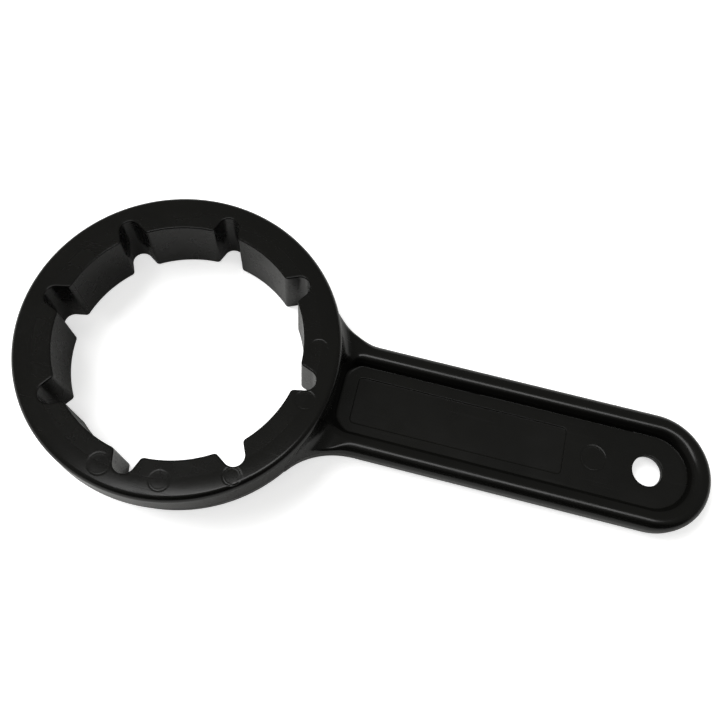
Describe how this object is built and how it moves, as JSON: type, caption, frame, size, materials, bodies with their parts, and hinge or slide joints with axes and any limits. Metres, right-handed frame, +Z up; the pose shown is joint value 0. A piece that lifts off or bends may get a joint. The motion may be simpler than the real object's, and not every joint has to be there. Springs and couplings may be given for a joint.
{
  "type": "lobed ring spanner",
  "caption": "Moulded black plastic ring spanner for lobed filter housings and large caps: a notched ring with drive lugs on a webbed, beaded handle with a hanging hole.",
  "frame": {"origin": "on the axis of the lug circle, in the plane of the ring's underside", "axes": "+Z up along the axis of the lug circle, +X along the handle towards the hanging hole"},
  "size_m": [0.2668, 0.1194, 0.0265],
  "materials": {
    "black_plastic": "satin"
  },
  "bodies": {
    "root": {"ring_wall": "black_plastic", "drive_lugs": "black_plastic", "neck_gussets": "black_plastic", "handle_rim": "black_plastic", "handle_web": "black_plastic", "label_field": "black_plastic"}
  },
  "joints": []
}
